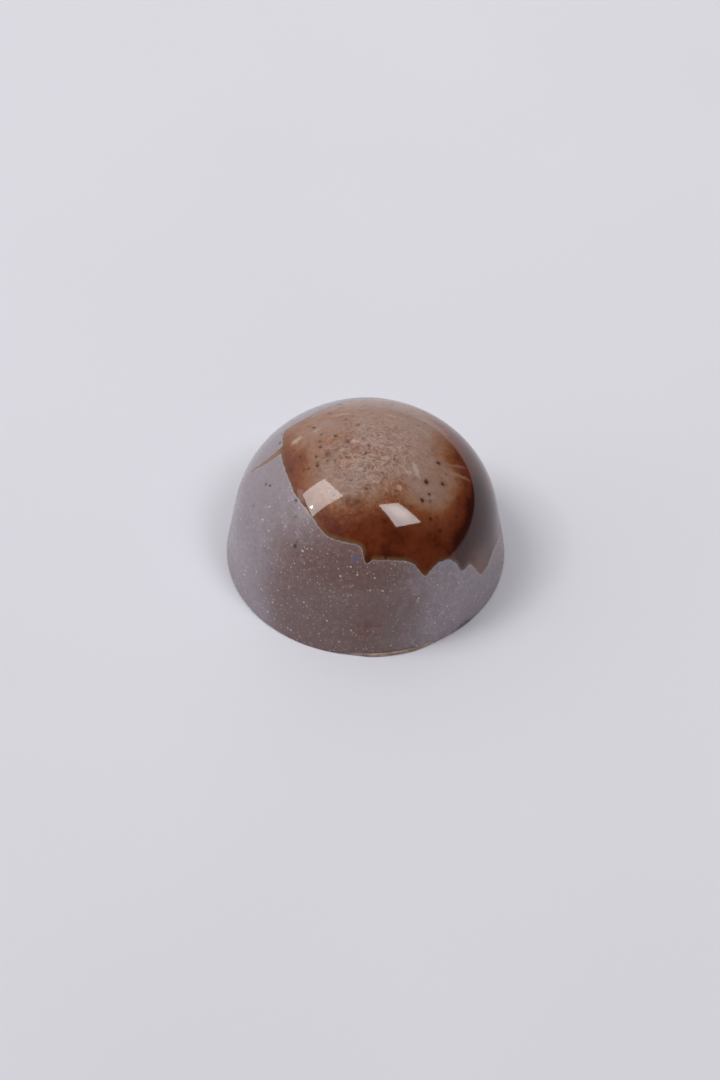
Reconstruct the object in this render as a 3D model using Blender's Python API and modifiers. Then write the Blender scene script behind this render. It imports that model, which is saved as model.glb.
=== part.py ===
"""A dome-shaped moulded chocolate praline, standing on its flat foot.

The praline comes out of a polished round mould, so its outside is one smooth turned form: a short
wall that leans in towards the crown by the mould's draft, and a slightly flattened dome on top of
it.  The open side of the mould is closed with a thin layer of plain chocolate, scraped level, and
its edge stands a little proud of the coloured shell all round the foot.

Metres, +Z up.  The origin is the centre of the flat foot.
"""

import math

import bmesh
import bpy

# Driving dimensions
FOOT_RADIUS = 0.0150        # outer edge of the closing layer, which is the widest place
PRALINE_HEIGHT = 0.0165     # from the flat foot to the crown
SPRING_HEIGHT = 0.0046      # where the dome's ellipse has its centre
WALL_DRAFT = math.radians(9.5)
LIP_WIDTH = 0.00012         # how far the closing layer stands out past the shell
CLOSING_THICKNESS = 0.0005
LAYER_GAP = 0.0003          # keeps the two solids apart

EDGE_ROUNDING = 0.00012
TURN_STEPS = 72
DOME_STEPS = 20
SMOOTH_ANGLE = math.radians(40)

DARK_CHOCOLATE = (0.052, 0.016, 0.008, 1.0)
GREY_COAT = (0.270, 0.235, 0.262, 1.0)


def clear_scene():
    """Remove whatever the open file holds."""
    for old_object in list(bpy.data.objects):
        bpy.data.objects.remove(old_object, do_unlink=True)


def chocolate_material(name, colour, roughness):
    """A plain glossy finish for one layer of the praline."""
    material = bpy.data.materials.new(name)
    material.use_nodes = True
    shader = material.node_tree.nodes["Principled BSDF"]
    shader.inputs["Base Color"].default_value = colour
    shader.inputs["Roughness"].default_value = roughness
    shader.inputs["Metallic"].default_value = 0.0
    return material


def dome_outline():
    """The shell's outer side as (radius, height) points, from the crown down to its lower edge.

    The dome is a half ellipse.  The wall is the straight line at the draft angle that touches it,
    so the two meet without a crease, and the line reaches the shell's foot radius at height zero.
    """
    shell_radius = FOOT_RADIUS - LIP_WIDTH
    rise = PRALINE_HEIGHT - SPRING_HEIGHT
    lean_cos = math.cos(WALL_DRAFT)
    lean_sin = math.sin(WALL_DRAFT)
    line_distance = shell_radius * lean_cos - SPRING_HEIGHT * lean_sin
    dome_radius = math.sqrt(line_distance ** 2 - (rise * lean_sin) ** 2) / lean_cos
    touch_angle = math.atan(rise / dome_radius * math.tan(WALL_DRAFT))

    outline = []
    for step in range(DOME_STEPS + 1):
        angle = math.pi / 2 + (touch_angle - math.pi / 2) * step / DOME_STEPS
        outline.append((dome_radius * math.cos(angle), SPRING_HEIGHT + rise * math.sin(angle)))

    lower_edge = CLOSING_THICKNESS + LAYER_GAP
    outline.append((shell_radius - lower_edge * math.tan(WALL_DRAFT), lower_edge))
    return outline


def turned_solid(name, outline, material, collection):
    """Turn an outline, which starts and ends on the axis, into a closed solid."""
    mesh = bpy.data.meshes.new(name)
    outline_mesh = bmesh.new()
    points = [outline_mesh.verts.new((radius, 0.0, height)) for radius, height in outline]
    for upper, lower in zip(points, points[1:]):
        outline_mesh.edges.new((upper, lower))
    outline_mesh.to_mesh(mesh)
    outline_mesh.free()

    turned = bpy.data.objects.new(name, mesh)
    turned.data.materials.append(material)
    collection.objects.link(turned)

    screw = turned.modifiers.new("Turn", "SCREW")
    screw.steps = TURN_STEPS
    screw.render_steps = TURN_STEPS
    screw.use_merge_vertices = True
    screw.merge_threshold = 0.00001
    return turned


def moulded_dome(collection):
    """The dome with its filling inside, one piece down to the closing layer."""
    outline = dome_outline()
    outline[0] = (0.0, PRALINE_HEIGHT)
    outline.append((0.0, outline[-1][1]))
    coat = chocolate_material("grey_cocoa_butter_coat", GREY_COAT, 0.12)
    return turned_solid("moulded_dome", outline, coat, collection)


def closing_layer(collection):
    """The thin disc of plain chocolate that seals the mould and becomes the praline's foot."""
    outline = [
        (0.0, CLOSING_THICKNESS),
        (FOOT_RADIUS - EDGE_ROUNDING, CLOSING_THICKNESS),
        (FOOT_RADIUS, CLOSING_THICKNESS - EDGE_ROUNDING),
        (FOOT_RADIUS, EDGE_ROUNDING),
        (FOOT_RADIUS - EDGE_ROUNDING, 0.0),
        (0.0, 0.0),
    ]
    chocolate = chocolate_material("plain_dark_chocolate", DARK_CHOCOLATE, 0.35)
    return turned_solid("closing_layer", outline, chocolate, collection)


def shade_smooth(solid):
    """Shade the turned side smooth and keep the edge of the flat foot sharp."""
    solid.data.shade_smooth()
    solid.data.set_sharp_from_angle(angle=SMOOTH_ANGLE)


clear_scene()
praline = bpy.data.collections.new("chocolate_praline")
bpy.context.scene.collection.children.link(praline)
for layer in (moulded_dome(praline), closing_layer(praline)):
    shade_smooth(layer)
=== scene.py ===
import math

import bmesh
import bpy
import numpy as np
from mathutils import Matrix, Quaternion, Vector, noise


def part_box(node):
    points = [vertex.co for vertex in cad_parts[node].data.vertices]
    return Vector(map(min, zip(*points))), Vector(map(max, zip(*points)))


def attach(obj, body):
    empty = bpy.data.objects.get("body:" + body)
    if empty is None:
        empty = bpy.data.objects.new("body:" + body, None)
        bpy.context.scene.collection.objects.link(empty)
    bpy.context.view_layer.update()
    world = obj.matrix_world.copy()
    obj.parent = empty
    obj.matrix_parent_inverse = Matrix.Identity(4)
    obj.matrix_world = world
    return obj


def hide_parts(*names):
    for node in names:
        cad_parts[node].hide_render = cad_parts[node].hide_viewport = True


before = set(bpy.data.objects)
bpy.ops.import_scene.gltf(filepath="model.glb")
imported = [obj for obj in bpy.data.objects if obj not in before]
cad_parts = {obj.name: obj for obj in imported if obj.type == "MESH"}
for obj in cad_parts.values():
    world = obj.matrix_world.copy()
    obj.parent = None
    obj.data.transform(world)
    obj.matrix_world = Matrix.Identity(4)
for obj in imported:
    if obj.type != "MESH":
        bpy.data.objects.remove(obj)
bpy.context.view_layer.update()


# ---------------------------------------------------------------------------------------------
# The closing layer
# Milk chocolate, spread over the filled mould while soft and scraped level with a palette knife.
# It is the praline's flat foot, and its edge shows at the front as a thin pale line under the shell.

MM = 0.001
FOOT_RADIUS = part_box("closing_layer")[1][0]
FILM_THICKNESS = 0.40 * MM
FILM_SIDES = 360
FILM_RIM_RINGS = 3
FILM_RIM_WIDTH = 1.2 * MM
FILM_EDGE_ROUNDING = 0.12 * MM
EDGE_SLACK = 0.01 * MM           # the margin when the outermost edges are picked
FILM_HIDDEN_RADIUS = FOOT_RADIUS - 0.30 * MM    # where the edge draws back under the shell
FILM_SHOWS_MOST = Vector((0.22, -0.975))        # the direction, seen from above
FILM_SHOWS_GAIN = 1.5
FILM_SHOWS_FALL = 26             # how quickly it goes back under the shell to either side
FILM_WANDER = 0.25
FILM_RELIEF = 0.03 * MM
MILK_CHOCOLATE = (186, 162, 150)
MILK_CHOCOLATE_SHADE = (142, 118, 108)


def colour(red, green, blue):
    """An sRGB colour, 0 to 255, as the linear colour that a shader takes."""
    linear = []
    for channel in (red / 255, green / 255, blue / 255):
        linear.append(channel / 12.92 if channel <= 0.04045 else ((channel + 0.055) / 1.055) ** 2.4)
    return (*linear, 1.0)


def start_piece(name):
    """Name the primitive just added and put its place into its mesh."""
    piece = bpy.context.object
    piece.name = name
    piece.data.name = name
    bpy.ops.object.transform_apply(location=True, rotation=True, scale=True)
    return piece


def pick(piece, kind, wanted):
    """In edit mode, select only the verts, edges or faces for which wanted(element) is true."""
    cage = bmesh.from_edit_mesh(piece.data)
    for group in (cage.verts, cage.edges, cage.faces):
        for element in group:
            element.select = False
    bpy.context.tool_settings.mesh_select_mode = (kind == "verts", kind == "edges", kind == "faces")
    for element in getattr(cage, kind):
        if wanted(element):
            element.select_set(True)
    bmesh.update_edit_mesh(piece.data)


def new_finish(piece, name):
    """A fresh node material on the piece; gives the tree and its Principled shader."""
    finish = bpy.data.materials.new(name)
    finish.use_nodes = True
    piece.data.materials.clear()
    piece.data.materials.append(finish)
    tree = finish.node_tree
    return tree, tree.nodes["Principled BSDF"]


def fill(socket, value):
    """Link a socket to another node's output, or give it a value of its own."""
    if isinstance(value, bpy.types.NodeSocket):
        socket.id_data.links.new(value, socket)
    else:
        socket.default_value = value


def calc(tree, operation, *values):
    """One Math node."""
    step = tree.nodes.new("ShaderNodeMath")
    step.operation = operation
    for socket, value in zip(step.inputs, values):
        fill(socket, value)
    return step.outputs[0]


def fade(tree, value, start, end, low=0.0, high=1.0):
    """Go smoothly from low to high while value goes from start to end."""
    step = tree.nodes.new("ShaderNodeMapRange")
    step.interpolation_type = "SMOOTHSTEP"
    for socket, setting in zip(step.inputs, (value, start, end, low, high)):
        fill(socket, setting)
    return step.outputs[0]


def blend(tree, amount, first, second):
    """Mix two colours: first at 0, second at 1."""
    step = tree.nodes.new("ShaderNodeMix")
    step.data_type = "RGBA"
    fill(step.inputs[0], amount)
    fill(step.inputs[6], first)
    fill(step.inputs[7], second)
    return step.outputs[2]


def millimetres(tree, stretch=(1.0, 1.0, 1.0)):
    """Object coordinates in millimetres, squeezed along an axis to stretch a pattern there."""
    where = tree.nodes.new("ShaderNodeTexCoord")
    scaled = tree.nodes.new("ShaderNodeMapping")
    scaled.inputs["Scale"].default_value = [1 / (MM * length) for length in stretch]
    fill(scaled.inputs["Vector"], where.outputs["Object"])
    return scaled.outputs["Vector"]


def cloud(tree, place, size, detail=2.0, coarse=0.5, warp=0.0):
    """Soft noise from 0 to 1, its lumps about size millimetres across."""
    step = tree.nodes.new("ShaderNodeTexNoise")
    fill(step.inputs["Vector"], place)
    step.inputs["Scale"].default_value = 1 / size
    step.inputs["Detail"].default_value = detail
    step.inputs["Roughness"].default_value = coarse
    step.inputs["Distortion"].default_value = warp
    return step.outputs[0]


def relief(tree, shader, height, depth):
    """A fine bump on the shader; height runs from 0 to 1 and depth is in metres."""
    step = tree.nodes.new("ShaderNodeBump")
    step.inputs["Distance"].default_value = depth
    fill(step.inputs["Height"], height)
    fill(shader.inputs["Normal"], step.outputs["Normal"])


bpy.ops.object.select_all(action="DESELECT")
bpy.ops.mesh.primitive_cylinder_add(
    vertices=FILM_SIDES, radius=FOOT_RADIUS, depth=FILM_THICKNESS, location=(0, 0, FILM_THICKNESS / 2)
)
closing = start_piece("closing_chocolate")
bpy.ops.object.mode_set(mode="EDIT")
pick(closing, "faces", lambda face: abs(face.normal.z) > 0.5)
for ring in range(FILM_RIM_RINGS):
    bpy.ops.mesh.inset(thickness=FILM_RIM_WIDTH / FILM_RIM_RINGS, use_individual=True)
rim_edge = FOOT_RADIUS - EDGE_SLACK
pick(
    closing,
    "edges",
    lambda edge: all(vert.co.xy.length > rim_edge for vert in edge.verts)
    and abs(edge.verts[0].co.z - edge.verts[1].co.z) < FILM_THICKNESS / 4,
)
bpy.ops.mesh.bevel(offset=FILM_EDGE_ROUNDING, segments=3, profile=0.5)
bpy.ops.object.mode_set(mode="OBJECT")


def film_shows(around):
    """How far the layer stands out from under the shell, 0 to 1, in a direction round the foot."""
    wander = noise.noise((around.x * 2.3, around.y * 2.3, 4.0)) + 0.35 * noise.noise(
        (around.x * 11, around.y * 11, 1.0)
    )
    towards_most = max(0.0, around.dot(FILM_SHOWS_MOST)) ** FILM_SHOWS_FALL
    return min(1.0, max(0.0, FILM_SHOWS_GAIN * towards_most + FILM_WANDER * wander - 0.12))


for vert in closing.data.vertices:
    radius = vert.co.xy.length
    if radius < FOOT_RADIUS - FILM_RIM_WIDTH * 1.05:
        continue
    stands_out = film_shows(vert.co.xy.normalized())
    reach = FILM_HIDDEN_RADIUS + (FOOT_RADIUS - FILM_HIDDEN_RADIUS) * stands_out
    vert.co.xy *= 1 - (1 - reach / FOOT_RADIUS) * (radius / FOOT_RADIUS) ** 8
bpy.ops.object.shade_smooth_by_angle(angle=math.radians(50))

tree, shader = new_finish(closing, "scraped_milk_chocolate")
here = millimetres(tree)
along_scrape = millimetres(tree, stretch=(6.0, 0.35, 1.0))
mottle = cloud(tree, here, 0.8, detail=4.0)
scrape = cloud(tree, along_scrape, 1.0, detail=3.0)
brown = blend(tree, fade(tree, mottle, 0.35, 0.65), colour(*MILK_CHOCOLATE), colour(*MILK_CHOCOLATE_SHADE))
fill(shader.inputs["Base Color"], brown)
fill(shader.inputs["Roughness"], fade(tree, scrape, 0.3, 0.7, 0.28, 0.45))
shader.inputs["Subsurface Weight"].default_value = 0.1
shader.inputs["Subsurface Scale"].default_value = 1.0 * MM
relief(tree, shader, calc(tree, "ADD", scrape, mottle), FILM_RELIEF)

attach(closing, "root")
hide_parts("closing_layer")


# ---------------------------------------------------------------------------------------------
# The moulded dome
# Chocolate cast in a polished dome mould that was first painted with coloured cocoa butter: a
# brown glaze round the crown, then grey with mica. The colours come out flush with the chocolate.

PRALINE_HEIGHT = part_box("moulded_dome")[1][2]
SPRING_HEIGHT = 4.6 * MM
WALL_DRAFT = math.radians(9.5)
LIP_WIDTH = 0.12 * MM
SHELL_SIDES = 384
ARC_STEPS = 90
WALL_STEPS = 34
SHELL_FOOT = FILM_THICKNESS - 0.06 * MM      # the shell is fused to the layer below it
FOOT_EDGE_ROUNDING = 0.10 * MM
RIM_HANG = 0.31 * MM             # how far the shell reaches down over the layer where it hides it
RIM_HANG_HEIGHT = 0.8 * MM       # how high up the wall that reaching down begins
RIM_SHARE = 0.9                  # the part of the underside further out than this hangs too
MOULD_UNEVENNESS = 0.02 * MM
WIDE_LUMPS = 9 * MM
NARROW_LUMPS = 4 * MM
ROUNDING_STEPS = 4
MERGE_DISTANCE = 0.001 * MM

shell_radius = FOOT_RADIUS - LIP_WIDTH
rise = PRALINE_HEIGHT - SPRING_HEIGHT
line_distance = shell_radius * math.cos(WALL_DRAFT) - SPRING_HEIGHT * math.sin(WALL_DRAFT)
dome_radius = math.sqrt(line_distance ** 2 - (rise * math.sin(WALL_DRAFT)) ** 2) / math.cos(WALL_DRAFT)
touch_angle = math.atan(rise / dome_radius * math.tan(WALL_DRAFT))
touch_height = SPRING_HEIGHT + rise * math.sin(touch_angle)
wall_slope = math.tan(WALL_DRAFT)


def wall_radius(height):
    """The wall's outer radius at a height above the foot."""
    return shell_radius - height * wall_slope


bpy.ops.object.select_all(action="DESELECT")
bpy.ops.mesh.primitive_circle_add(
    vertices=4 * ARC_STEPS, radius=dome_radius, location=(0, 0, SPRING_HEIGHT), rotation=(math.pi / 2, 0, 0)
)
shell = start_piece("coloured_shell")
bpy.ops.object.mode_set(mode="EDIT")
bpy.ops.mesh.select_all(action="SELECT")
bpy.ops.transform.resize(value=(1, 1, rise / dome_radius), center_override=(0, 0, SPRING_HEIGHT))
pick(shell, "verts", lambda vert: vert.co.x < -MERGE_DISTANCE or vert.co.z < touch_height)
bpy.ops.mesh.delete(type="VERT")

lowest = min(vert.co.z for vert in bmesh.from_edit_mesh(shell.data).verts)
pick(shell, "verts", lambda vert: vert.co.z == lowest)
corner = next(vert.co.copy() for vert in bmesh.from_edit_mesh(shell.data).verts if vert.select)
wall_end = SHELL_FOOT + FOOT_EDGE_ROUNDING
route = []
for step in range(1, WALL_STEPS + 1):
    height = lowest + (wall_end - lowest) * step / WALL_STEPS
    route.append((wall_radius(height), height))
round_centre = (wall_radius(wall_end) - FOOT_EDGE_ROUNDING, wall_end)
for step in range(1, ROUNDING_STEPS + 1):
    turn = math.radians(90) * step / ROUNDING_STEPS
    radius = round_centre[0] + FOOT_EDGE_ROUNDING * math.cos(turn)
    height = round_centre[1] - FOOT_EDGE_ROUNDING * math.sin(turn)
    route.append((radius, height))
for share in (0.97, 0.9, 0.6, 0.3, 0.0):
    route.append((shell_radius * share, SHELL_FOOT))
for radius, height in route:
    bpy.ops.mesh.extrude_region_move(
        TRANSFORM_OT_translate={"value": (radius - corner.x, 0, height - corner.z)}
    )
    corner = Vector((radius, 0, height))

bpy.ops.mesh.select_all(action="SELECT")
bpy.ops.mesh.spin(steps=SHELL_SIDES, angle=2 * math.pi, center=(0, 0, 0), axis=(0, 0, 1))
bpy.ops.mesh.select_all(action="SELECT")
bpy.ops.mesh.remove_doubles(threshold=MERGE_DISTANCE)
bpy.ops.mesh.normals_make_consistent(inside=False)
bpy.ops.object.mode_set(mode="OBJECT")

for vert in shell.data.vertices:
    if vert.co.xy.length > RIM_SHARE * shell_radius:
        hang = (1 - film_shows(vert.co.xy.normalized())) * RIM_HANG
        vert.co.z -= hang * max(0.0, 1 - (vert.co.z - SHELL_FOOT) / RIM_HANG_HEIGHT) ** 2
    lumps = noise.noise(vert.co / WIDE_LUMPS) + 0.5 * noise.noise(vert.co / NARROW_LUMPS + Vector((7, 7, 7)))
    vert.co -= vert.co.normalized() * MOULD_UNEVENNESS * (1 + lumps) * min(1, vert.co.z / MM)
bpy.ops.object.shade_smooth_by_angle(angle=math.radians(60))

# The mould's inside spread out flat, as it is painted: the crown is in the middle, x runs to the
# right, y to the back, and a point's distance from the middle is its way down the wall, in mm.
BROWN_PATCH = [
    (-9.5, 0.6), (-8.9, -1.9), (-8.4, -3.5), (-7.9, -5.0), (-7.2, -6.4), (-5.9, -8.3), (-4.3, -10.5),
    (-2.4, -11.3), (-0.5, -11.9), (-0.2, -13.0), (0.2, -13.6), (0.8, -13.2), (2.2, -13.1), (3.8, -13.0),
    (5.5, -13.0), (6.5, -13.6), (7.5, -14.1), (8.3, -13.0), (9.2, -12.1), (10.3, -11.6), (11.5, -11.6),
    (12.8, -12.1), (13.4, -11.5), (14.0, -10.8), (15.3, -10.8), (17.3, -10.6), (17.9, -9.7), (18.4, -8.4),
    (18.6, -6.9), (19.3, -5.0), (20.2, -2.8), (20.3, -0.5), (18.4, 1.2), (17.6, 3.1), (18.3, 5.2),
    (16.2, 6.4), (14.8, 8.6), (14.5, 11.3), (12.3, 10.9), (10.6, 12.2), (8.2, 12.0), (7.4, 13.9),
    (6.2, 13.4), (5.0, 11.4), (2.4, 10.6), (0.0, 9.5), (-1.9, 9.0), (-3.6, 8.1), (-5.0, 7.2),
    (-6.3, 6.3), (-8.2, 5.5), (-9.4, 5.0), (-9.5, 3.6), (-9.4, 2.0),
]
# the thin run of glaze at the left, from its root to its tip, and its half widths there
GLAZE_TAIL = [(-9.2, 1.5), (-9.9, 1.1), (-10.9, 0.8), (-12.0, 0.8), (-13.0, 1.0), (-14.1, 1.3)]
TAIL_WIDTHS = (0.50, 0.13)
CURVE_STEPS = 5
MEASURING_STEPS = 2000


def smooth_curve(points, closed):
    """A smooth line through the points, as an array with CURVE_STEPS places for each stretch."""
    count = len(points)
    stretches = count if closed else count - 1
    line = []
    for index in range(stretches):
        four = []
        for offset in (-1, 0, 1, 2):
            place = index + offset
            four.append(points[place % count] if closed else points[min(max(place, 0), count - 1)])
        before, start, end, after = (np.array(point, dtype=float) for point in four)
        for step in range(CURVE_STEPS):
            t = step / CURVE_STEPS
            line.append(
                0.5 * (
                    2 * start + (end - before) * t
                    + (2 * before - 5 * start + 4 * end - after) * t ** 2
                    + (3 * start - 3 * end + after - before) * t ** 3
                )
            )
    if not closed:
        line.append(np.array(points[-1], dtype=float))
    return np.array(line)


def distance_to_line(places, line, closed):
    """The distance from each place to the nearest point of the line, and how far along that is."""
    starts = line if closed else line[:-1]
    ends = np.roll(line, -1, axis=0) if closed else line[1:]
    nearest = np.full(len(places), np.inf)
    share = np.zeros(len(places))
    for index, (start, end) in enumerate(zip(starts, ends)):
        run = end - start
        t = np.clip(((places - start) @ run) / (run @ run), 0, 1)
        gap = np.linalg.norm(places - start - t[:, None] * run, axis=1)
        closer = gap < nearest
        nearest[closer] = gap[closer]
        share[closer] = (index + t[closer]) / len(starts)
    return nearest, share


def inside_line(places, line):
    """True for each place that the closed line goes round."""
    inside = np.zeros(len(places), dtype=bool)
    for start, end in zip(line, np.roll(line, -1, axis=0)):
        spans = (start[1] > places[:, 1]) != (end[1] > places[:, 1])
        rise_here = end[1] - start[1]
        if rise_here != 0:
            crossing = start[0] + (places[:, 1] - start[1]) / rise_here * (end[0] - start[0])
            inside ^= spans & (places[:, 0] < crossing)
    return inside


def way_down(radius, height):
    """How far down the dome from the crown a point of the shell lies, in millimetres."""
    arc_heights = np.linspace(touch_height, PRALINE_HEIGHT, MEASURING_STEPS)
    arc_radii = dome_radius * np.sqrt(np.clip(1 - ((arc_heights - SPRING_HEIGHT) / rise) ** 2, 0, None))
    pieces = np.hypot(np.diff(arc_heights), np.diff(arc_radii))
    from_crown = np.concatenate([np.cumsum(pieces[::-1])[::-1], [0.0]])
    on_arc = np.interp(height, arc_heights, from_crown)
    on_wall = from_crown[0] + (touch_height - height) / math.cos(WALL_DRAFT)
    underside = (height < SHELL_FOOT + EDGE_SLACK) * (shell_radius - radius)
    return (np.where(height >= touch_height, on_arc, on_wall) + underside) / MM


corners = np.empty(len(shell.data.vertices) * 3)
shell.data.vertices.foreach_get("co", corners)
corners = corners.reshape(-1, 3)
corner_radius = np.hypot(corners[:, 0], corners[:, 1])
down = way_down(corner_radius, corners[:, 2])
spread = down / np.maximum(corner_radius, 1e-9)
flat_map = np.stack([corners[:, 0] * spread, corners[:, 1] * spread], axis=1)

patch_line = smooth_curve(BROWN_PATCH, closed=True)
patch_gap, _ = distance_to_line(flat_map, patch_line, closed=True)
patch_edge = np.where(inside_line(flat_map, patch_line), patch_gap, -patch_gap)
tail_line = smooth_curve(GLAZE_TAIL, closed=False)
tail_gap, tail_share = distance_to_line(flat_map, tail_line, closed=False)
tail_edge = TAIL_WIDTHS[0] + (TAIL_WIDTHS[1] - TAIL_WIDTHS[0]) * tail_share - tail_gap
glaze_edge = np.maximum(patch_edge, tail_edge)

edge_layer = shell.data.attributes.new("glaze_edge", "FLOAT", "POINT")
edge_layer.data.foreach_set("value", glaze_edge)
map_layer = shell.data.attributes.new("mould_map", "FLOAT_VECTOR", "POINT")
map_layer.data.foreach_set("vector", np.column_stack([flat_map, np.zeros(len(flat_map))]).ravel())
GLAZE_THIN = (162, 131, 118)
GLAZE_TAN = (152, 108, 84)
GLAZE_ORANGE = (134, 76, 44)
GLAZE_RED = (116, 58, 36)
GLAZE_DEEP = (106, 46, 22)
GLAZE_POOL = (60, 18, 7)
GLAZE_PALE_GRAIN = (196, 168, 156)
GLAZE_RED_GRAIN = (104, 54, 40)
GLAZE_OLIVE = (118, 92, 66)
GLAZE_TAIL_PINK = (158, 108, 98)
RIM_LINE = (172, 166, 160)
RIM_HAZE = (146, 146, 166)
GREY_LILAC = (151, 138, 145)
GREY_WARM = (124, 98, 95)
GREY_GREEN = (122, 124, 112)
GREY_RED = (112, 62, 52)
# the mica colours are partly the flakes' own pale tint and partly their painted glint
MICA_AND_GLINT = (222, 208, 206)
GOLD_MICA_AND_GLINT = (206, 176, 132)
SPOT_DARK = (76, 32, 20)
SPOT_RED = (104, 38, 24)
SPECK_GREY = (54, 52, 56)
SMEAR_PALE = (196, 176, 164)
BLOT_BLUE = (98, 106, 134)

# zones on the flat map: the middle of each, how far it reaches and how softly it ends, in mm
CROWN = ((-0.6, 2.4), 9.4, 3.4)
RIGHT_OF_CROWN = ((6.8, -3.7), 4.4, 3.0)
LEFT_OF_CROWN = ((-6.5, 0.5), 5.0, 4.0)
LEFT_SHOULDER = ((-8.6, -1.6), 1.6, 2.2)
LEFT_FRONT = ((-2.6, -8.0), 3.6, 2.8)
POOL = ((14.0, -6.0), 4.6, 4.0)
GRAINY_MIDDLE = ((0.4, -1.8), 4.6, 3.4)
TAIL_VEIL = ((-12.0, 1.0), 2.4, 0.5)
RIGHT_VEIL = ((20.4, -4.0), 1.6, 1.8)
DRIP_VEIL = ((16.8, -10.8), 2.2, 2.6)
WARM_FRONT = ((-4.0, -20.5), 12.0, 6.5)
RED_RUB = ((0.4, -21.0), 2.0, 1.8)
CLEAR_LEFT = ((-13.0, 2.5), 7.0, 4.5)
WORMY_FRONT = ((1.0, -17.0), 14.0, 5.0)
GOLD_FRONT = ((1.2, -20.6), 2.6, 2.0)
HAZY_DRIPS = ((10.8, -12.2), 2.0, 1.2)
RIGHT_BLUSH = ((21.5, -4.5), 2.6, 2.6)
POLISHED_BACK = ((-12.0, 11.0), 9.0, 3.5)
GLOSSY_TOP = ((0.0, 0.0), 14.0, 3.5)

# single dabs on the flat map: the middle x and y, the length and width, and the turn in degrees
RIGHT_SCRATCH = (22.0, -6.7, 0.9, 0.2, 70)
FOOT_SCUFF = (17.6, -17.4, 4.8, 1.0, 40)
BLUE_BLOT = (-1.1, -13.1, 0.9, 0.8, 0)
LEFT_RUB = (-17.8, -4.3, 5.4, 0.7, 66)

# round specks on the flat map: x, y and radius
DARK_SPOTS = [
    (6.3, -4.1, 0.22), (8.2, -3.7, 0.20), (6.7, -5.4, 0.16), (6.0, -6.3, 0.20), (0.2, -1.0, 0.14),
    (-0.2, -1.9, 0.13), (-5.0, -0.2, 0.15), (7.6, -1.2, 0.15), (2.9, -2.2, 0.11), (-5.8, 3.2, 0.15),
    (-7.9, 0.3, 0.13), (-7.2, -0.9, 0.13), (-5.4, -1.5, 0.15), (-5.2, -2.7, 0.14), (-6.7, -2.8, 0.11),
    (-6.2, -2.8, 0.11), (-3.4, 1.0, 0.14), (7.1, -8.1, 0.15), (2.3, -12.7, 0.24), (8.4, -9.0, 0.16),
    (0.25, -13.2, 0.40),
]
RED_SPOTS = [
    (-4.2, -1.4, 0.30), (-2.2, 0.1, 0.20), (0.0, -5.9, 0.20), (-1.0, -7.3, 0.34), (-2.0, -7.1, 0.26),
    (-3.5, -10.1, 0.42),
]
GREY_SPECKS = [
    (-9.8, 2.8, 0.18), (-9.6, 4.5, 0.13), (-12.4, 4.2, 0.11), (-15.2, 5.6, 0.12), (-11.5, -2.6, 0.19),
    (-10.9, -3.1, 0.17), (-7.7, -6.2, 0.22), (-13.5, -4.3, 0.12), (-8.2, -10.9, 0.22),
]
# each smear: its middle, its length and width, its turn on the flat map, and its strength
PALE_SMEARS = [
    (5.1, -2.9, 2.3, 0.62, -70, 0.60), (4.4, -3.5, 0.8, 0.6, 0, 0.5), (-7.7, 1.8, 1.5, 0.8, 38, 0.6),
    (-1.6, 0.0, 0.8, 0.7, 0, 0.55), (1.9, -2.2, 1.2, 0.6, 14, 0.5), (-5.4, 2.7, 1.1, 0.5, 34, 0.45),
    (3.4, -5.4, 0.8, 0.5, -35, 0.55), (10.3, -1.6, 3.4, 0.5, 10, 0.22), (10.0, -0.4, 2.6, 0.45, 24, 0.2),
    (-0.7, -3.7, 0.8, 0.5, 8, 0.5), (-2.8, 4.9, 2.4, 0.6, 4, 0.35), (-2.6, -1.1, 1.4, 0.5, 12, 0.4),
    (0.9, -5.1, 0.8, 0.5, 0, 0.4), (3.0, 4.6, 3.0, 0.6, -12, 0.25), (6.0, 3.0, 2.6, 0.5, -38, 0.25),
]


def attribute(tree, name, output):
    """One of the shell's painted layers."""
    layer = tree.nodes.new("ShaderNodeAttribute")
    layer.attribute_name = name
    return layer.outputs[output]


def ramp(tree, value, stops):
    """A colour for each value from 0 to 1, given as (value, sRGB colour) stops."""
    step = tree.nodes.new("ShaderNodeValToRGB")
    elements = step.color_ramp.elements
    for _ in stops[len(elements):]:
        elements.new(0.5)
    for element, (place, shade) in zip(elements, stops):
        element.position = place
        element.color = colour(*shade)
    fill(step.inputs[0], value)
    return step.outputs[0]


def dimmed(tree, shade, amount):
    """A colour made darker or lighter by a factor."""
    step = tree.nodes.new("ShaderNodeVectorMath")
    step.operation = "SCALE"
    fill(step.inputs["Vector"], shade)
    fill(step.inputs["Scale"], amount)
    return step.outputs["Vector"]


def spots(tree, place, spacing, radius, blur, share=1.0):
    """Round spots strewn in three dimensions, in a share of the cells: 1 in a spot and 0 around it."""
    cells = tree.nodes.new("ShaderNodeTexVoronoi")
    fill(cells.inputs["Vector"], place)
    cells.inputs["Scale"].default_value = 1 / spacing
    away = calc(tree, "MULTIPLY", cells.outputs["Distance"], spacing)
    chance = tree.nodes.new("ShaderNodeSeparateColor")
    fill(chance.inputs[0], cells.outputs["Color"])
    own_radius = calc(tree, "MULTIPLY", fade(tree, chance.outputs[0], 0.0, 1.0, 0.6, 1.3), radius)
    spot = fade(tree, away, calc(tree, "ADD", own_radius, blur), calc(tree, "SUBTRACT", own_radius, blur))
    return calc(tree, "MULTIPLY", spot, fade(tree, chance.outputs[1], 1.0 - share, 1.0 - 0.6 * share))


def grains(tree, place, size, width):
    """Short worm-like grains, 1 along a grain's middle and 0 between them."""
    lumps = cloud(tree, place, size, detail=1.0, coarse=0.6)
    from_middle = calc(tree, "ABSOLUTE", calc(tree, "SUBTRACT", lumps, 0.5))
    return fade(tree, from_middle, width, 0.0)


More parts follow.
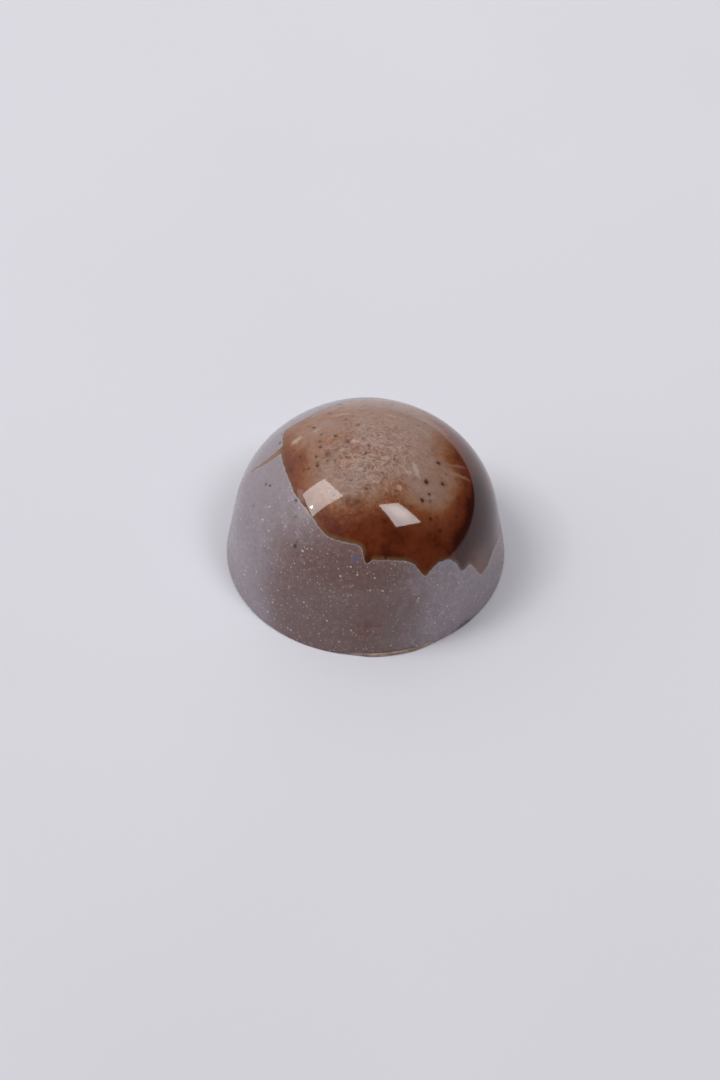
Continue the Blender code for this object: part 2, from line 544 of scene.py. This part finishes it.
def near(tree, place, centre, reach, soft):
    """1 near a centre on the flat map and 0 past reach, fading over soft millimetres either way."""
    gap = tree.nodes.new("ShaderNodeVectorMath")
    gap.operation = "DISTANCE"
    fill(gap.inputs[0], place)
    gap.inputs[1].default_value = (*centre, 0.0)
    return fade(tree, gap.outputs["Value"], reach + soft, reach - soft)


def dab(tree, place, x, y, length, width, turn):
    """A long soft dab of colour on the flat map, 1 in its middle."""
    laid = tree.nodes.new("ShaderNodeMapping")
    laid.vector_type = "TEXTURE"
    fill(laid.inputs["Vector"], place)
    laid.inputs["Location"].default_value = (x, y, 0.0)
    laid.inputs["Rotation"].default_value = (0.0, 0.0, math.radians(turn))
    laid.inputs["Scale"].default_value = (length / 2, width / 2, 1.0)
    size = tree.nodes.new("ShaderNodeVectorMath")
    size.operation = "LENGTH"
    fill(size.inputs[0], laid.outputs["Vector"])
    return fade(tree, size.outputs["Value"], 1.25, 0.35)


def from_marks(tree, place, marks):
    """How far each point is from the nearest of several round marks, in radii of that mark."""
    nearest = 1000.0
    for x, y, radius in marks:
        gap = tree.nodes.new("ShaderNodeVectorMath")
        gap.operation = "DISTANCE"
        fill(gap.inputs[0], place)
        gap.inputs[1].default_value = (x, y, 0.0)
        nearest = calc(tree, "MINIMUM", calc(tree, "DIVIDE", gap.outputs["Value"], radius), nearest)
    return nearest


def strongest(tree, values):
    """The largest of several values at each point."""
    total = values[0]
    for value in values[1:]:
        total = calc(tree, "MAXIMUM", total, value)
    return total


WOBBLE = 0.5

tree, shader = new_finish(shell, "coloured_cocoa_butter")
here = millimetres(tree)
mould = attribute(tree, "mould_map", "Vector")
edge = attribute(tree, "glaze_edge", "Fac")
broad = cloud(tree, here, 3.2, detail=4.0, coarse=0.55, warp=0.4)
fine = cloud(tree, here, 0.55, detail=3.0, coarse=0.6)

# the flat map with a small wobble, which breaks up the outlines of the spots and dabs
jitter = tree.nodes.new("ShaderNodeVectorMath")
jitter.operation = "MULTIPLY_ADD"
wobble = tree.nodes.new("ShaderNodeTexNoise")
fill(wobble.inputs["Vector"], here)
wobble.inputs["Scale"].default_value = 3.0
fill(jitter.inputs[0], wobble.outputs["Color"])
jitter.inputs[1].default_value = (WOBBLE, WOBBLE, 0.0)
fill(jitter.inputs[2], mould)
shifted = tree.nodes.new("ShaderNodeVectorMath")
shifted.operation = "SUBTRACT"
fill(shifted.inputs[0], jitter.outputs["Vector"])
shifted.inputs[1].default_value = (WOBBLE / 2, WOBBLE / 2, 0.0)
dabbed = shifted.outputs["Vector"]

# the brown glaze: thin and tan over the crown, deep red where it ran down and pooled
crown = strongest(tree, [near(tree, dabbed, *CROWN), near(tree, dabbed, *RIGHT_OF_CROWN)])
left_shoulder = near(tree, mould, *LEFT_SHOULDER)
left_front = near(tree, mould, *LEFT_FRONT)
pool = near(tree, mould, *POOL)
speckle_zone = strongest(tree, [left_front, calc(tree, "MULTIPLY", crown, 0.35)])
speckle_depth = calc(tree, "MULTIPLY", speckle_zone, 0.9)
speckled = calc(tree, "MULTIPLY", calc(tree, "SUBTRACT", fine, 0.5), speckle_depth)
depth = calc(tree, "MULTIPLY", calc(tree, "SUBTRACT", 1.0, crown), 0.86)
depth = calc(tree, "ADD", depth, calc(tree, "MULTIPLY", near(tree, mould, *LEFT_OF_CROWN), 0.22))
depth = calc(tree, "ADD", depth, calc(tree, "MULTIPLY", left_shoulder, 0.30))
depth = calc(tree, "ADD", depth, calc(tree, "MULTIPLY", pool, 0.36))
depth = calc(tree, "SUBTRACT", depth, calc(tree, "MULTIPLY", left_front, 0.24))
depth = calc(tree, "ADD", depth, calc(tree, "MULTIPLY", calc(tree, "SUBTRACT", broad, 0.5), 0.7))
depth = calc(tree, "ADD", depth, speckled)
glaze = ramp(
    tree,
    depth,
    [
        (0.0, GLAZE_THIN), (0.24, GLAZE_TAN), (0.44, GLAZE_ORANGE),
        (0.62, GLAZE_RED), (0.82, GLAZE_DEEP), (1.0, GLAZE_POOL),
    ],
)

# grains of cocoa butter that set as it cooled, thickest in the middle of the crown
grainy = near(tree, mould, *GRAINY_MIDDLE)
patchy = fade(tree, cloud(tree, here, 1.6, detail=2.0), 0.30, 0.60, 0.25, 1.0)
curls = cloud(tree, here, 0.78, detail=2.0, coarse=0.65, warp=2.0)
light_and_dark = fade(tree, curls, 0.38, 0.62, -0.25, 0.12)
spread_grain = fade(tree, grainy, 0.0, 1.0, 0.3, 1.0)
glaze = dimmed(tree, glaze, calc(tree, "ADD", 1.0, calc(tree, "MULTIPLY", light_and_dark, spread_grain)))
red_grain = calc(tree, "MULTIPLY", grains(tree, here, 1.05, 0.04), calc(tree, "MULTIPLY", grainy, 0.42))
glaze = blend(tree, red_grain, glaze, colour(*GLAZE_RED_GRAIN))
pale_grain = calc(tree, "MULTIPLY", grains(tree, here, 0.85, 0.065), calc(tree, "MULTIPLY", grainy, patchy))
glaze = blend(tree, calc(tree, "MULTIPLY", pale_grain, 0.56), glaze, colour(*GLAZE_PALE_GRAIN))
smears = 0.0
for *smear, strength in PALE_SMEARS:
    smears = calc(tree, "MAXIMUM", calc(tree, "MULTIPLY", dab(tree, dabbed, *smear), strength), smears)
glaze = blend(tree, smears, glaze, colour(*SMEAR_PALE))
thin_veil = strongest(
    tree,
    [
        near(tree, mould, *TAIL_VEIL),
        calc(tree, "MULTIPLY", near(tree, dabbed, *RIGHT_VEIL), 0.6),
        calc(tree, "MULTIPLY", near(tree, dabbed, *DRIP_VEIL), fade(tree, broad, 0.3, 0.6, 0.2, 0.6)),
    ],
)
glaze = blend(tree, thin_veil, glaze, colour(*GLAZE_TAIL_PINK))

# specks of cocoa, dark or red, each with a faint halo
small_spots = spots(tree, here, 0.95, 0.10, 0.05, share=0.75)
halo = spots(tree, here, 0.95, 0.26, 0.20, share=0.75)
from_dark = from_marks(tree, dabbed, DARK_SPOTS)
from_red = from_marks(tree, dabbed, RED_SPOTS)
dark = fade(tree, from_dark, 1.45, 0.55)
red = fade(tree, from_red, 1.5, 0.5)
wide = fade(tree, calc(tree, "MINIMUM", from_dark, from_red), 3.4, 0.8)
glaze = dimmed(tree, glaze, fade(tree, strongest(tree, [halo, wide]), 0.0, 1.0, 1.0, 0.80))
glaze = blend(tree, calc(tree, "MULTIPLY", small_spots, 0.62), glaze, colour(*SPOT_DARK))
glaze = blend(tree, calc(tree, "MULTIPLY", red, 0.7), glaze, colour(*SPOT_RED))
# gold mica dots in the glaze at the left front: the flakes' own colour together with their painted glint
gold_mica_and_painted_glint = calc(tree, "MULTIPLY", spots(tree, here, 0.7, 0.06, 0.03, share=0.5), left_front)
glaze = blend(tree, calc(tree, "MULTIPLY", gold_mica_and_painted_glint, 0.6), glaze, colour(*GOLD_MICA_AND_GLINT))

# the grey coat, warmer and darker low at the front, with fine grain and mica in it
warm = near(tree, mould, *WARM_FRONT)
warm = calc(tree, "ADD", warm, calc(tree, "MULTIPLY", calc(tree, "SUBTRACT", broad, 0.5), 0.7))
grey = blend(tree, fade(tree, warm, 0.0, 1.0), colour(*GREY_LILAC), colour(*GREY_WARM))
greenish = fade(tree, cloud(tree, here, 2.6, detail=3.0, warp=0.5), 0.56, 0.74, 0.0, 0.28)
grey = blend(tree, greenish, grey, colour(*GREY_GREEN))
reddish = calc(tree, "MULTIPLY", near(tree, dabbed, *RED_RUB), fade(tree, fine, 0.4, 0.62))
grey = blend(tree, calc(tree, "MULTIPLY", reddish, 0.85), grey, colour(*GREY_RED))
textured = fade(tree, near(tree, mould, *CLEAR_LEFT), 0.0, 1.0, 1.0, 0.15)
mottle_strength = fade(tree, textured, 0.0, 1.0, 0.25, 1.0)
fine_mottle = calc(tree, "MULTIPLY", fade(tree, fine, 0.3, 0.7, -0.08, 0.08), mottle_strength)
grey = dimmed(tree, grey, calc(tree, "ADD", 1.0, fine_mottle))
worm_strength = fade(tree, near(tree, mould, *WORMY_FRONT), 0.0, 1.0, 0.25, 1.0)
worms = calc(tree, "MULTIPLY", grains(tree, here, 0.9, 0.06), calc(tree, "MULTIPLY", worm_strength, patchy))
grey = dimmed(tree, grey, fade(tree, worms, 0.0, 1.0, 0.97, 1.26))
# mica flakes in the grey coat, drawn as pale and gold dots in the colour: the flakes' own tint together with
# their painted glint
mica_flakes_and_painted_glints = strongest(
    tree,
    [
        calc(tree, "MULTIPLY", spots(tree, here, 0.34, 0.065, 0.035, share=0.8), 0.5),
        calc(tree, "MULTIPLY", spots(tree, here, 0.62, 0.085, 0.04, share=0.5), 0.9),
    ],
)
mica_flakes_and_painted_glints = calc(tree, "MULTIPLY", mica_flakes_and_painted_glints, fade(tree, textured, 0.0, 1.0, 0.25, 1.0))
gold = near(tree, mould, *GOLD_FRONT)
grey = blend(tree, mica_flakes_and_painted_glints, grey, blend(tree, gold, colour(*MICA_AND_GLINT), colour(*GOLD_MICA_AND_GLINT)))
specks = strongest(
    tree,
    [
        calc(tree, "MULTIPLY", fade(tree, from_marks(tree, dabbed, GREY_SPECKS), 1.5, 0.55), 0.85),
        calc(tree, "MULTIPLY", spots(tree, here, 2.3, 0.11, 0.05, share=0.5), 0.45),
        calc(tree, "MULTIPLY", dab(tree, dabbed, *RIGHT_SCRATCH), 0.8),
        calc(tree, "MULTIPLY", dab(tree, dabbed, *FOOT_SCUFF), 0.6),
    ],
)
grey = blend(tree, specks, grey, colour(*SPECK_GREY))
blot = calc(tree, "MULTIPLY", dab(tree, dabbed, *BLUE_BLOT), 0.8)
grey = blend(tree, blot, grey, colour(*BLOT_BLUE))
grey = dimmed(tree, grey, fade(tree, dab(tree, dabbed, *LEFT_RUB), 0.0, 1.0, 1.0, 0.8))

# where the glaze ends: it thins to olive, and the grey coat shows a pale line against it
ragged = calc(tree, "MULTIPLY", calc(tree, "SUBTRACT", cloud(tree, here, 0.6, detail=2.0), 0.5), 0.35)
edge = calc(tree, "ADD", edge, ragged)
thinned = calc(tree, "MULTIPLY", fade(tree, edge, 0.55, 0.02), fade(tree, broad, 0.35, 0.6, 0.25, 0.8))
glaze = blend(tree, thinned, glaze, colour(*GLAZE_OLIVE))
glaze = blend(tree, calc(tree, "MULTIPLY", dark, 0.9), glaze, colour(*SPOT_DARK))
rim_line = fade(tree, calc(tree, "ABSOLUTE", calc(tree, "ADD", edge, 0.07)), 0.10, 0.03)
grey = blend(tree, calc(tree, "MULTIPLY", rim_line, 0.42), grey, colour(*RIM_LINE))
haze = calc(tree, "MULTIPLY", fade(tree, edge, -0.9, -0.1), near(tree, mould, *HAZY_DRIPS))
grey = blend(tree, calc(tree, "MULTIPLY", haze, 0.6), grey, colour(*RIM_HAZE))
blush = calc(tree, "MULTIPLY", near(tree, mould, *RIGHT_BLUSH), 0.18)
grey = blend(tree, blush, grey, colour(*GLAZE_TAIL_PINK))
in_glaze = fade(tree, edge, -0.05, 0.05)
fill(shader.inputs["Base Color"], blend(tree, in_glaze, grey, glaze))
polished = near(tree, mould, *POLISHED_BACK)
satin = fade(tree, polished, 0.0, 1.0, fade(tree, broad, 0.3, 0.7, 0.25, 0.32), 0.10)
gloss = fade(tree, near(tree, mould, *GLOSSY_TOP), 0.0, 1.0, 0.12, 0.05)
fill(shader.inputs["Roughness"], fade(tree, in_glaze, 0.0, 1.0, satin, gloss))
shader.inputs["IOR"].default_value = 1.5

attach(shell, "root")
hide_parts("moulded_dome")


# ---------------------------------------------------------------------------------------------
# The studio
# A pale table top, a softbox high at the left and one at the right, a flap and a bare bulb at the
# left, and a room that is bright behind and dim in front.

scene = bpy.context.scene
scene.view_settings.view_transform = "Standard"

FLOOR_SIZE = 1.4
FLOOR_WHITE = (232, 231, 239)
SOFTBOX_RADIANCE = 7.3
BRIGHT_SIDE = (-0.65, 0.60, 0.45)     # the room is bright above and to the back left
DIM_ROOM = 0.04
BRIGHT_ROOM = 0.62
BACKDROP_BRIGHTNESS = 0.66
LEFT_RADIANCE = 0.9 * SOFTBOX_RADIANCE
BULB_WIDTH = 0.022
BULB_RADIANCE = 90


def direction(azimuth, elevation):
    """The direction to something seen from the praline; azimuth 0 is straight back, 90 is right."""
    turn, lift = math.radians(azimuth), math.radians(elevation)
    return Vector((math.sin(turn) * math.cos(lift), math.cos(turn) * math.cos(lift), math.sin(lift)))


bpy.ops.object.select_all(action="DESELECT")
bpy.ops.mesh.primitive_plane_add(size=FLOOR_SIZE)
floor = start_piece("table_top")
tree, shader = new_finish(floor, "matt_white_board")
here = millimetres(tree)
cloudy = fade(tree, cloud(tree, here, 60.0, detail=2.0), 0.3, 0.7, 0.98, 1.0)
fill(shader.inputs["Base Color"], dimmed(tree, colour(*FLOOR_WHITE)[:3], cloudy))
shader.inputs["Roughness"].default_value = 0.9
shader.inputs["Specular IOR Level"].default_value = 0.1


def lamp(name, azimuth, elevation, turns, size, distance, radiance):
    """A flat lamp that faces the praline, then is turned on its axis, tipped and swung, in degrees."""
    light = bpy.data.lights.new(name, "AREA")
    light.shape = "RECTANGLE"
    light.size, light.size_y = size
    light.energy = radiance * math.pi * light.size * light.size_y
    holder = bpy.data.objects.new(name, light)
    scene.collection.objects.link(holder)
    towards = direction(azimuth, elevation)
    holder.location = towards * distance
    holder.rotation_mode = "QUATERNION"
    facing = towards.to_track_quat("Z", "Y")
    for axis, angle in zip(((0, 0, 1), (1, 0, 0), (0, 1, 0)), turns):
        facing = facing @ Quaternion(axis, math.radians(angle))
    holder.rotation_quaternion = facing
    return light


def brighter_middle(light, gain):
    """Make a softbox brighter in the middle of its cloth, where the flash tube is."""
    light.use_nodes = True
    tree = light.node_tree
    cloth = tree.nodes.new("ShaderNodeNewGeometry")
    gap = tree.nodes.new("ShaderNodeVectorMath")
    gap.operation = "DISTANCE"
    fill(gap.inputs[0], cloth.outputs["Parametric"])
    gap.inputs[1].default_value = (0.5, 0.5, 0.0)
    fill(tree.nodes["Emission"].inputs["Strength"], fade(tree, gap.outputs["Value"], 0.55, 0.1, 1.0, gain))


lamp("left_softbox", -86.3, 55.7, (25.4, 0.8, 50.7), (0.55, 0.401), 1.0, LEFT_RADIANCE)
right_softbox = lamp(
    "right_softbox", 121.8, 62.0, (-3.4, 49.4, -45.7), (0.357, 0.62), 1.0, SOFTBOX_RADIANCE
)
brighter_middle(right_softbox, 1.5)
lamp("left_side_flap", -82.0, 41.3, (89.1, -12.7, 70.7), (0.266, 0.17), 1.0, 1.6)
lamp("bare_bulb", -100.4, 48.4, (0, 0, 0), (BULB_WIDTH, BULB_WIDTH), 0.80, BULB_RADIANCE)

room = bpy.data.worlds.new("room")
scene.world = room
room.use_nodes = True
tree = room.node_tree
background = tree.nodes["Background"]
sight = tree.nodes.new("ShaderNodeTexCoord")
towards_bright = tree.nodes.new("ShaderNodeVectorMath")
towards_bright.operation = "DOT_PRODUCT"
fill(towards_bright.inputs[0], sight.outputs["Generated"])
towards_bright.inputs[1].default_value = BRIGHT_SIDE
glow = fade(tree, towards_bright.outputs["Value"], 0.0, 0.75, DIM_ROOM, BRIGHT_ROOM)
rays = tree.nodes.new("ShaderNodeLightPath")
strength = fade(tree, rays.outputs["Is Camera Ray"], 0.0, 1.0, glow, BACKDROP_BRIGHTNESS)
fill(background.inputs["Strength"], strength)
background.inputs["Color"].default_value = (1.0, 1.0, 1.0, 1.0)

CAMERA_DISTANCE = 0.28
CAMERA_TILT = 46.7
CAMERA_ROLL = math.radians(1.0)
AIM = Vector((-0.0006, -0.0033, 0.0051))

lens = bpy.data.cameras.new("camera")
lens.lens = 89.3
lens.sensor_width = 36.0
lens.clip_start = 0.01
lens.clip_end = 20.0
camera = bpy.data.objects.new("camera", lens)
scene.collection.objects.link(camera)
middle = Vector((0, 0, PRALINE_HEIGHT / 2))
camera.location = middle + direction(180, CAMERA_TILT) * CAMERA_DISTANCE
camera.rotation_mode = "QUATERNION"
look = AIM - camera.location
camera.rotation_quaternion = look.to_track_quat("-Z", "Y") @ Quaternion((0, 0, 1), CAMERA_ROLL)
scene.camera = camera
